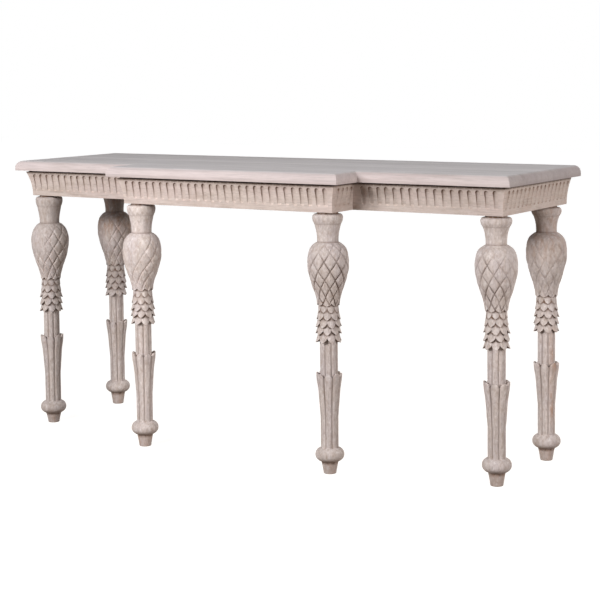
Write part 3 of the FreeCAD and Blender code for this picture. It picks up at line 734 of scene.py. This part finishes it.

# each leg was carved by eye
# turned, lobes: where the diamonds and the reeds start, in degrees
# cuts: depth of the two families of grooves; rubbed: the smoothest side and how far it is worn
# bulbDrop, scaleDrop, ringDrop: how far these sit below the mean; girth, neckGirth: how stout
# shade: tone of the leg, partly painted light set to how brightly each leg is lit; then the tones
# of bulb and neck, painted shade (the rear left leg's neck is painted shadow); lime: how much lies
# in the grooves; then how bare the top is rubbed, partly painted shade on the rear legs' tops, and
# the side that has lost its lime (bareSide)
legPlaces = {
    "front_left": {
        "place": (-800, -110), "turned": 35.0, "lobes": 10.4, "cuts": (1.0, 0.9),
        "rubbed": (-98, 0.8), "bulbDrop": 11.5, "scaleDrop": 11.0, "ringDrop": 5.0,
        "girth": 1.03, "neckGirth": 1.07, "shade": 0.97, "upperTonesAndShade": (1.0, 0.97), "lime": 1.15,
        "bareTopAndShade": 0.0,
    },
    "centre_left": {
        "place": (-332, -224), "turned": 13.0, "lobes": 38.0, "cuts": (1.2, 0.6),
        "rubbed": (-95, 0.75), "bulbDrop": 11.0, "scaleDrop": 2.0, "ringDrop": -0.5,
        "girth": 1.0, "neckGirth": 1.03, "shade": 1.12, "upperTonesAndShade": (1.0, 1.02), "lime": 1.05,
        "bareTopAndShade": 0.0,
    },
    "rear_left": {
        "place": (-800, 224), "turned": 12.0, "lobes": 39.0, "cuts": (1.0, 0.9),
        "rubbed": (-95, 0.6), "bulbDrop": 3.5, "scaleDrop": 2.5, "ringDrop": -3.0,
        "girth": 1.0, "neckGirth": 1.06, "shade": 1.17, "upperTonesAndShade": (0.94, 0.37), "lime": 0.95,
        "bareTopAndShade": 0.6,
    },
    "front_right": {
        "place": (800, -110), "turned": 0.5, "lobes": 39.5, "cuts": (1.0, 1.0),
        "rubbed": (-22, 0.6), "bulbDrop": 1.0, "scaleDrop": -1.0, "ringDrop": -1.0,
        "girth": 1.0, "neckGirth": 0.99, "shade": 1.03, "upperTonesAndShade": (1.0, 1.0), "lime": 0.2,
        "bareTopAndShade": 0.0,
    },
    "centre_right": {
        "place": (332, -224), "turned": 19.5, "lobes": 4.5, "cuts": (1.15, 1.1),
        "rubbed": (-110, 0.3), "bulbDrop": 5.5, "scaleDrop": 1.0, "ringDrop": 1.5,
        "girth": 1.0, "neckGirth": 1.03, "shade": 0.98, "upperTonesAndShade": (0.99, 1.0), "lime": 0.0,
        "bareTopAndShade": 0.0,
    },
    "rear_right": {
        "place": (800, 224), "turned": 0.6, "lobes": 37.0, "cuts": (0.75, 0.75),
        "rubbed": (-66, 0.4), "bulbDrop": -2.0, "scaleDrop": 0.5, "ringDrop": 0.0,
        "girth": 1.0, "neckGirth": 1.01, "shade": 1.07, "upperTonesAndShade": (0.88, 0.88), "lime": 0.6,
        "bareTopAndShade": 0.35, "bareSide": -26,
    },
}


def lobeAt(angle, count, shift=0.0):  # which lobe, and where across it from -1 to 1
    place = angle / turn * count + shift
    index = math.floor(place)
    return index % count, (place - index) * 2 - 1


class CarvedLeg:
    def __init__(self, seed, own):
        s = self.s = legSettings
        rng = random.Random(seed)
        self.seed = seed
        self.own = own
        self.spin = math.radians(own["turned"])
        column = turn / s["columns"]
        self.lobeStart = round((math.radians(own["lobes"]) - self.spin) / column) * column
        self.leafRadius = easeCurve(s["leafRadius"])
        self.bulbRadius = easeCurve(s["bulb"])
        self.scalePlay = {(k, m): (rng.uniform(*s["scaleRise"]), rng.uniform(*s["scaleGrow"]))
                          for k in range(len(s["tips"])) for m in range(s["lobes"])}
        self.leafPlay = {m: (rng.uniform(*s["leafRise"]), rng.uniform(*s["leafGrow"]))
                         for m in range(s["lobes"])}
        self.scaleShift = rng.uniform(0, 1)
        self.hem = len(s["tips"]) - 1  # the topmost row, under the bulb

    def lobe(self, angle, shift=0.0):
        return lobeAt(angle - self.lobeStart, self.s["lobes"], shift)

    def scaleLobe(self, row, angle):  # each row is set half a scale round from the last
        return self.lobe(angle, self.scaleShift + 0.5 * (row % 2))

    def noiseAt(self, angle, level, scales, extra=0):
        wide, tall = scales
        return smoothNoise(math.cos(angle) * wide, math.sin(angle) * wide, level * tall,
                           self.seed + extra)

    # each of these shapes gives (radius, level, cut) for one station at one angle
    def plain(self, angle, radius, level, cut=0.0):
        return radius, level, cut

    def shaft(self, angle, radius, depth):
        return radius - depth * abs(self.lobe(angle)[1])**self.s["reedPower"]

    def reed(self, angle, radius, depth, level, pull=0.0, order=None):
        s = self.s
        if order is not None:  # the upper shaft starts on the leaves' ledge
            level = max(level, self.leafRim(angle)[0] - s["ledge"][0] + 0.5 * (order + 1))
        level += pull * (self.scaleEdge(0, angle) + s["shaftRise"] - level)
        # dirt and painted shade in the valleys between the reeds
        dirtAndShade = s["reedDirtAndShade"] * abs(self.lobe(angle)[1])**7
        return self.shaft(angle, radius, depth), level, dirtAndShade

    def leafRim(self, angle):
        s = self.s
        index, across = self.lobe(angle)
        rise, grow = self.leafPlay[index]
        start = s["notchStart"]
        notch = max(0.0, (abs(across) - start) / (1 - start))**s["notchPower"]
        free = 1 - across**2
        return s["calyxHigh"] - s["leafNotch"] * notch + rise * free, grow * free

    def leafOuter(self, angle, share, drop=0.0, trim=0.0):
        s = self.s
        rim, grow = self.leafRim(angle)
        level = mix(s["calyxLow"], rim, share) - drop
        across = abs(self.lobe(angle)[1])
        height = (level - s["calyxLow"]) / (s["calyxHigh"] - s["calyxLow"])
        depth = mix(*s["leafCuts"], min(1, max(0, height) * s["cutGain"]))
        radius = self.leafRadius(level) + grow * height - depth * across**s["leafPower"] - trim
        # dirt and painted shade in the valleys between the leaves
        return radius, level, s["leafDirtAndShade"] * across**7

    def leafInner(self, angle, below, inward, cut):
        s = self.s
        least = self.shaft(angle, *s["upperShaft"][:2]) + 0.25
        outer = self.leafOuter(angle, 1.0)[0] - (s["leafThickness"] + inward)
        return max(least, outer), self.leafRim(angle)[0] - below, cut

    def scaleEdge(self, row, angle):
        s = self.s
        index, across = self.scaleLobe(row, angle)
        across = abs(across)
        rise = self.scalePlay[(row, index)][0] * (1 - across**2)
        cusp, play = (s["hemCusp"], s["hemPlay"]) if row == self.hem else (s["cusp"], 1)
        tongue = s["tongue"] * across**s["tonguePower"] \
            + (1 - s["tongue"]) * (1 - math.sqrt(max(0, 1 - across**2)))
        return s["tips"][row] + rise * play + cusp * tongue

    def scaleRadius(self, row, angle, level):
        s = self.s
        index, across = self.scaleLobe(row, angle)
        grow = self.scalePlay[(row, index)][1] * (1 - across**2)
        up = min(1, max(0, (level - s["tips"][row]) / s["flareLength"]))
        flare = mix(s["tipRadius"][row] + grow, s["rootRadius"], up**s["flarePower"])
        return flare - s["dome"] * (1 - 0.5 * up) * abs(across)**s["domePower"]

    def belowEdge(self, row, angle, level):  # surface that a row's edge stands on
        if row == 0:
            return self.shaft(angle, *self.s["upperShaft"][:2])
        return self.scaleRadius(row - 1, angle, level)

    def scaleUnder(self, angle, row):
        edge = self.scaleEdge(row, angle)
        # painted shadow under each row's edge, with dirt
        return self.belowEdge(row, angle, edge) - 0.6, edge + 1.8, 1.0

    def scaleLip(self, angle, row, lift, trim, cut):
        edge = self.scaleEdge(row, angle)
        top = self.bulbRadius(edge) + 0.5 if row == self.hem else self.scaleRadius(row, angle, edge)
        return max(top - trim, self.belowEdge(row, angle, edge)), edge + lift, cut

    def scaleFace(self, angle, row, share):
        low = self.scaleEdge(row, angle) + 1.0
        high = self.scaleEdge(row + 1, angle) + 1.0
        level = mix(low, high, share)
        across = abs(self.scaleLobe(row, angle)[1])
        # dirt and painted shade under the next row's edge and between the tongues
        cut = easeFrom(share, *self.s["scaleDirtAndShade"]) * (1 - 0.4 * across) + 0.3 * across**8
        return self.scaleRadius(row, angle, level), level, min(1.0, cut)

    def bulb(self, angle, number, level, nominal):
        s = self.s
        period = s["columns"] // s["latticeStarts"]
        column = round(angle / turn * s["columns"])
        a, b = (column - number) % period, (column + number) % period
        width, rise = nominal * turn / s["columns"], s["latticeStep"]
        step = width * rise / math.hypot(width, rise)
        nearA, nearB = min(a, period - a) * step, min(b, period - b) * step
        low, high = s["shoulderFade"]
        worn = mix(1.0, 0.5, easeFrom(level, low, high - low))
        side, amount = self.own["rubbed"]
        facing = max(0.0, math.cos(angle + self.spin - math.radians(side)))
        worn *= 1 - amount * facing**1.5 * easeFrom(level, *s["rubbedFrom"])
        patch = self.noiseAt(angle, level, s["patchScale"])
        uneven = worn * max(s["leastPatch"], 1 + s["patchPlay"] * patch)
        carved = 0.0
        for near, strength in ((nearA, self.own["cuts"][0]), (nearB, self.own["cuts"][1])):
            carved = max(carved, strength * uneven * max(0.0, 1 - near / s["grooveHalf"]))
        u, v = a / period, b / period
        pillow = s["pillow"] * worn * (16 * u * (1 - u) * v * (1 - v))**s["pillowPower"] \
            * min(1, nominal / s["pillowFull"])
        fade = max(0.0, 1 - number / s["hemRings"])
        hem = self.scaleEdge(self.hem, angle)
        place = level + fade * (hem + s["hemRise"] - s["bulb"][0][0])
        radius = nominal if number > s["hemRings"] else self.bulbRadius(place)
        groove = s["grooveDepth"] * mix(s["shallowest"], 1.0, easeFrom(nominal, *s["shallowAt"]))
        # dirt and painted shade in the lattice grooves, darker towards the lower part of the bulb
        least, most = s["grooveDirtAndShade"]
        start, reach = s["grooveShadeFrom"]
        dirtAndShade = most * carved * mix(least, 1.0, easeIn((start - level) / reach))
        lime = 1 - s["limeGain"] * self.own["lime"]  # below zero: lime instead of dirt
        return radius + (pillow - s["bulbTrim"] - groove * carved), place, dirtAndShade * lime

    # these finish a point of any shape
    def handWork(self, angle, radius, level):
        s = self.s
        play = self.noiseAt(angle, level, s["playScale"], 5)
        start, reach = s["swayFrom"]
        sway = self.noiseAt(angle, level, s["swayScale"]) * min(1, max(0, (level - start) / reach))
        return angle + s["sway"] * sway, radius + s["play"] * play

    def settle(self, radius, level):  # bulbs, scales and rings are not all set alike
        s, own = self.s, self.own
        drop = mix(own["scaleDrop"], own["bulbDrop"], easeFrom(level, *s["scaleToBulb"]))
        stout = mix(1.0, own["girth"], rampBetween(level, *s["bulbReach"]))
        stout *= mix(1.0, own["neckGirth"], rampBetween(level, *s["neckReach"]))
        level -= drop * rampBetween(level, *s["upperReach"])
        level -= own["ringDrop"] * rampBetween(level, *s["ringReach"])
        return radius * stout, level

    def toneAt(self, level, depth):
        # painted light and shade: the leg's tone and its bulb's and neck's tones follow how
        # brightly each is lit
        s, own = self.s, self.own
        overBulb, overNeck = own["upperTonesAndShade"]
        tone = own["shade"] * mix(1.0, overBulb, easeFrom(level, *s["overBulb"]))
        tone *= mix(1.0, overNeck / overBulb, easeFrom(level, *s["overNeck"]))
        return tone * (1 + s["limeTone"] * max(0.0, -depth))

    def bareAt(self, angle, level):
        s, own = self.s, self.own
        # brown bare wood on the toe, and on the ring's underside as painted shadow
        most, start, reach = s["ringBareAndShade"]
        bare = s["toeBare"] if level < s["toeTop"] else most * easeIn((start - level) / reach)
        # the bare top is partly painted shade on the rear legs' upper parts
        bare = max(bare, own["bareTopAndShade"] * easeFrom(level, *s["bareFrom"]))
        if "bareSide" in own:  # one side has lost its lime in a long streak
            facing = max(0.0, math.cos(angle + self.spin - math.radians(own["bareSide"])))
            window = rampBetween(level, *s["streakReach"])
            bare = max(bare, s["streakBare"] * window * facing**s["streakPower"])
        return bare


def legStations():  # rings of points from the toe to the spigot: (shape, its values)
    s = legSettings
    stations = []

    def add(shape, *values):
        stations.append((shape, values))
    # dirt and painted shade in the crease under the ring and over the ring's underside
    for radius, level in s["toe"]:
        add("plain", radius, level, s["toeDirtAndShade"][level >= s["toeTop"]])
    most, start, reach = s["ringDirtAndShade"]
    for radius, level in s["ring"]:
        add("plain", radius, level, max(0.0, most - (level - start) / reach))
    radius, depth, levels = s["lowerShaft"]
    for level in levels:
        add("reed", radius, depth, level)
    for i in range(s["calyxSteps"] + 1):
        add("leafOuter", i / s["calyxSteps"] * s["leafHead"])
    add("leafOuter", 1.0, *s["leafHeadTrim"])
    for below, inward, cut in s["leafLip"] + [s["ledge"]]:
        add("leafInner", below, inward, cut)
    radius, depth, levels = s["upperShaft"]
    for i, level in enumerate(levels):
        add("reed", radius, depth, level, (i / (len(levels) - 1))**3, i)
    rows = len(s["tips"])
    first, last = s["scaleSpan"]
    for row in range(rows):
        add("scaleUnder", row)
        for lift, trim, cut in s["scaleLip"]:
            add("scaleLip", row, lift, trim, cut)
        if row < rows - 1:
            for i in range(s["scaleSteps"]):
                add("scaleFace", row, i / (s["scaleSteps"] - 1) * (last - first) + first)
    radiusAt = easeCurve(s["bulb"])
    foot, brow = s["bulb"][0][0], s["bulb"][-1][0]
    outline = [(radiusAt(foot + 0.5 * i), foot + 0.5 * i) for i in range(2 * (brow - foot) + 1)]
    outline += s["shoulder"]
    number, due = 0, 0.0
    for (r0, z0), (r1, z1) in zip(outline, outline[1:]):
        piece = math.hypot(r1 - r0, z1 - z0)
        while due <= piece:
            share = due / piece
            radius, level = mix(r0, r1, share), mix(z0, z1, share)
            add("bulb", number, level, radius)
            number += 1
            due += s["latticeStep"]
        due -= piece
    for key, (below, dirtAndShade) in s["upperDirtAndShade"].items():
        for radius, level in s[key]:
            add("plain", radius, level, dirtAndShade if level < below else 0.0)
    return stations


def legBlank(stations):  # plain turned blank with every ring of points that the carving needs
    s = legSettings
    bm = bmesh.new()
    ring = bm.verts.layers.int.new("ring")
    layersOf(bm)
    bareLayer(bm)
    points = []
    for i in range(len(stations)):
        vert = bm.verts.new((20 + 0.01 * i, 0, i))
        vert[ring] = i
        points.append(vert)
    for a, b in zip(points, points[1:]):
        bm.edges.new((a, b))
    bmesh.ops.spin(bm, geom=bm.verts[:] + bm.edges[:], cent=(0, 0, 0), axis=(0, 0, 1),
                   angle=turn, steps=s["columns"], use_merge=True)
    bmesh.ops.holes_fill(bm, edges=[e for e in bm.edges if e.is_boundary], sides=0)
    onBulb = [i for i, station in enumerate(stations) if station[0] == "bulb"]
    first, last = onBulb[0], onBulb[-1]
    period = s["columns"] // s["latticeStarts"]
    grooves = []
    for vert in bm.verts:
        if first <= vert[ring] <= last:
            column = round(math.atan2(vert.co.y, vert.co.x) % turn / turn * s["columns"])
            number = vert[ring] - first
            if (column - number) % period == 0 or (column + number) % period == 0:
                grooves.append(vert)
    bmesh.ops.connect_verts(bm, verts=grooves)
    return bm


def makeLeg(blank, stations, name, own, seed):
    s = legSettings
    bm = blank.copy()
    ring = bm.verts.layers.int["ring"]
    grain, cut, tone = layersOf(bm)
    bare = bareLayer(bm)
    leg = CarvedLeg(seed, own)
    shapes = [(getattr(leg, shape), values, shape) for shape, values in stations]
    shift = grainShift(seed, s["grainShift"])
    for vert in bm.verts:
        angle = math.atan2(vert.co.y, vert.co.x) % turn
        column = round(angle / turn * s["columns"]) % s["columns"]
        angle = column / s["columns"] * turn
        shape, values, kind = shapes[vert[ring]]
        radius, level, depth = shape(angle, *values)
        if kind != "plain":
            angle, radius = leg.handWork(angle, radius, level)
        radius, level = leg.settle(radius, level)
        x, y = radius * math.cos(angle), radius * math.sin(angle)
        vert[grain] = Vector((level, x, y)) * mm + shift
        vert[cut] = max(0.0, depth)
        vert[tone] = leg.toneAt(level, depth)
        vert[bare] = leg.bareAt(angle, level)
        vert.co = (x, y, level)
    setInPlace(bm, leg.spin, (*own["place"], 0))
    return finishPiece(bm, "carved_leg_" + name, ["leg_" + name], legWood, 50)


stations = legStations()
blank = legBlank(stations)
for i, (name, own) in enumerate(legPlaces.items()):
    makeLeg(blank, stations, name, own, i + 21)
blank.free()
print("legs ready:", len(stations), "rings each")


innerWoods = {"rear_rail": railWood, "cross_rail": crossWood, "leg_block": blockWood,
              "mitre_splines": crossWood, "top_tongues": railWood, "top_screws": screwSteel}
for nodeName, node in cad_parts.items():
    for key, material in innerWoods.items():
        if nodeName.startswith(key):
            if not node.material_slots:
                node.data.materials.append(material)
            for held in node.material_slots:
                held.material = material
print("inner wood ready")


studioSettings = {
    "floorSize": 30.0, "floorColour": (0.30, 0.255, 0.215, 1), "skyStrength": 0.04,
    # the floor is nearly white by itself, so that shadows stay faint
    "floorGlow": (0.93, 1.0), "glowReach": (1.6, 4.5),
    "lamps": {  # place, aim, size, watts, colour
        "key": ((-0.30, -2.88, 1.80), (0.0, 0.0, 0.5), 0.8, 73, (0.985, 0.99, 1.0)),
        "left": ((-2.05, -3.78, 1.90), (0.0, 0.0, 0.5), 0.8, 64, (0.98, 0.985, 1.0)),
        "side": ((3.84, -0.88, 1.50), (0.3, 0.0, 0.5), 1.2, 79, (1.0, 0.98, 0.972)),
        "above": ((-0.50, 1.90, 3.60), (0.0, 0.0, 0.8), 1.6, 18, (1.0, 0.99, 1.0)),
        "back": ((1.50, 3.75, 1.25), (0.0, 0.0, 0.5), 1.8, 46, (1.0, 0.99, 0.98)),
    },
}

cameraSettings = {
    "place": (2.69119, -4.06713, 1.16409), "yaw": 32.518, "pitch": -4.148, "roll": -0.627,
    "lens": 96.51, "sensor": 36.0, "shiftY": -0.2,
}


def seenDirectly(bench):  # 1 for rays that only show the background
    path = bench.add("LightPath").outputs
    either = bench.math("MAXIMUM", path["Is Camera Ray"], path["Is Glossy Ray"])
    return bench.math("MAXIMUM", either, path["Is Transmission Ray"])


def makeFloor(s):
    bm = bmesh.new()
    bmesh.ops.create_grid(bm, x_segments=1, y_segments=1, size=s["floorSize"] / 2)
    mesh = bpy.data.meshes.new("studioFloor")
    bm.to_mesh(mesh)
    bm.free()
    floor = addObject("studio_floor", mesh)
    bench = NodeBench(bpy.data.materials.new("whitePaper"))
    matt = bench.add("BsdfDiffuse", {"Color": s["floorColour"]}).outputs[0]
    place = bench.add("TexCoord").outputs["Object"]
    away = bench.add("VectorMath", {0: place}, operation="LENGTH").outputs["Value"]
    (near, far), (low, high) = s["glowReach"], s["floorGlow"]
    glow = bench.add("MapRange", {"Value": away, "From Min": near, "From Max": far,
                                  "To Min": low, "To Max": high},
                     interpolation_type="SMOOTHSTEP").outputs[0]
    white = bench.add("Emission", {"Strength": glow}).outputs[0]
    both = bench.add("AddShader", {0: matt, 1: white}).outputs[0]
    chosen = bench.add("MixShader", {0: seenDirectly(bench), 1: matt, 2: both}).outputs[0]
    bench.add("OutputMaterial", {"Surface": chosen})
    mesh.materials.append(bench.holder)


def makeSky(s):
    world = bpy.data.worlds.new("studioWorld")
    bpy.context.scene.world = world
    bench = NodeBench(world)
    white = (1, 1, 1, 1)
    dim = bench.add("Background", {"Color": white, "Strength": s["skyStrength"]}).outputs[0]
    bright = bench.add("Background", {"Color": white, "Strength": 1.0}).outputs[0]
    chosen = bench.add("MixShader", {0: seenDirectly(bench), 1: dim, 2: bright}).outputs[0]
    bench.add("OutputWorld", {"Surface": chosen})


def makeLamps(s):
    for name, (place, aim, size, watts, colour) in s["lamps"].items():
        light = bpy.data.lights.new(name + "Light", "AREA")
        light.size, light.energy, light.color = size, watts, colour
        holder = addObject(name + "Light", light)
        holder.location = place
        look = Vector(aim) - Vector(place)
        holder.rotation_euler = look.to_track_quat("-Z", "Y").to_euler()


def makeCamera(s):
    data = bpy.data.cameras.new("tableCamera")
    data.lens, data.sensor_width, data.shift_y = s["lens"], s["sensor"], s["shiftY"]
    camera = addObject("tableCamera", data)
    aim = Euler((math.radians(90 + s["pitch"]), 0, math.radians(s["yaw"]))).to_matrix()
    aim = aim @ Matrix.Rotation(math.radians(s["roll"]), 3, "Z")
    camera.matrix_world = Matrix.Translation(s["place"]) @ aim.to_4x4()
    bpy.context.scene.camera = camera


makeFloor(studioSettings)
makeSky(studioSettings)
makeLamps(studioSettings)
makeCamera(cameraSettings)
bpy.context.scene.view_settings.view_transform = "Standard"
print("studio ready")
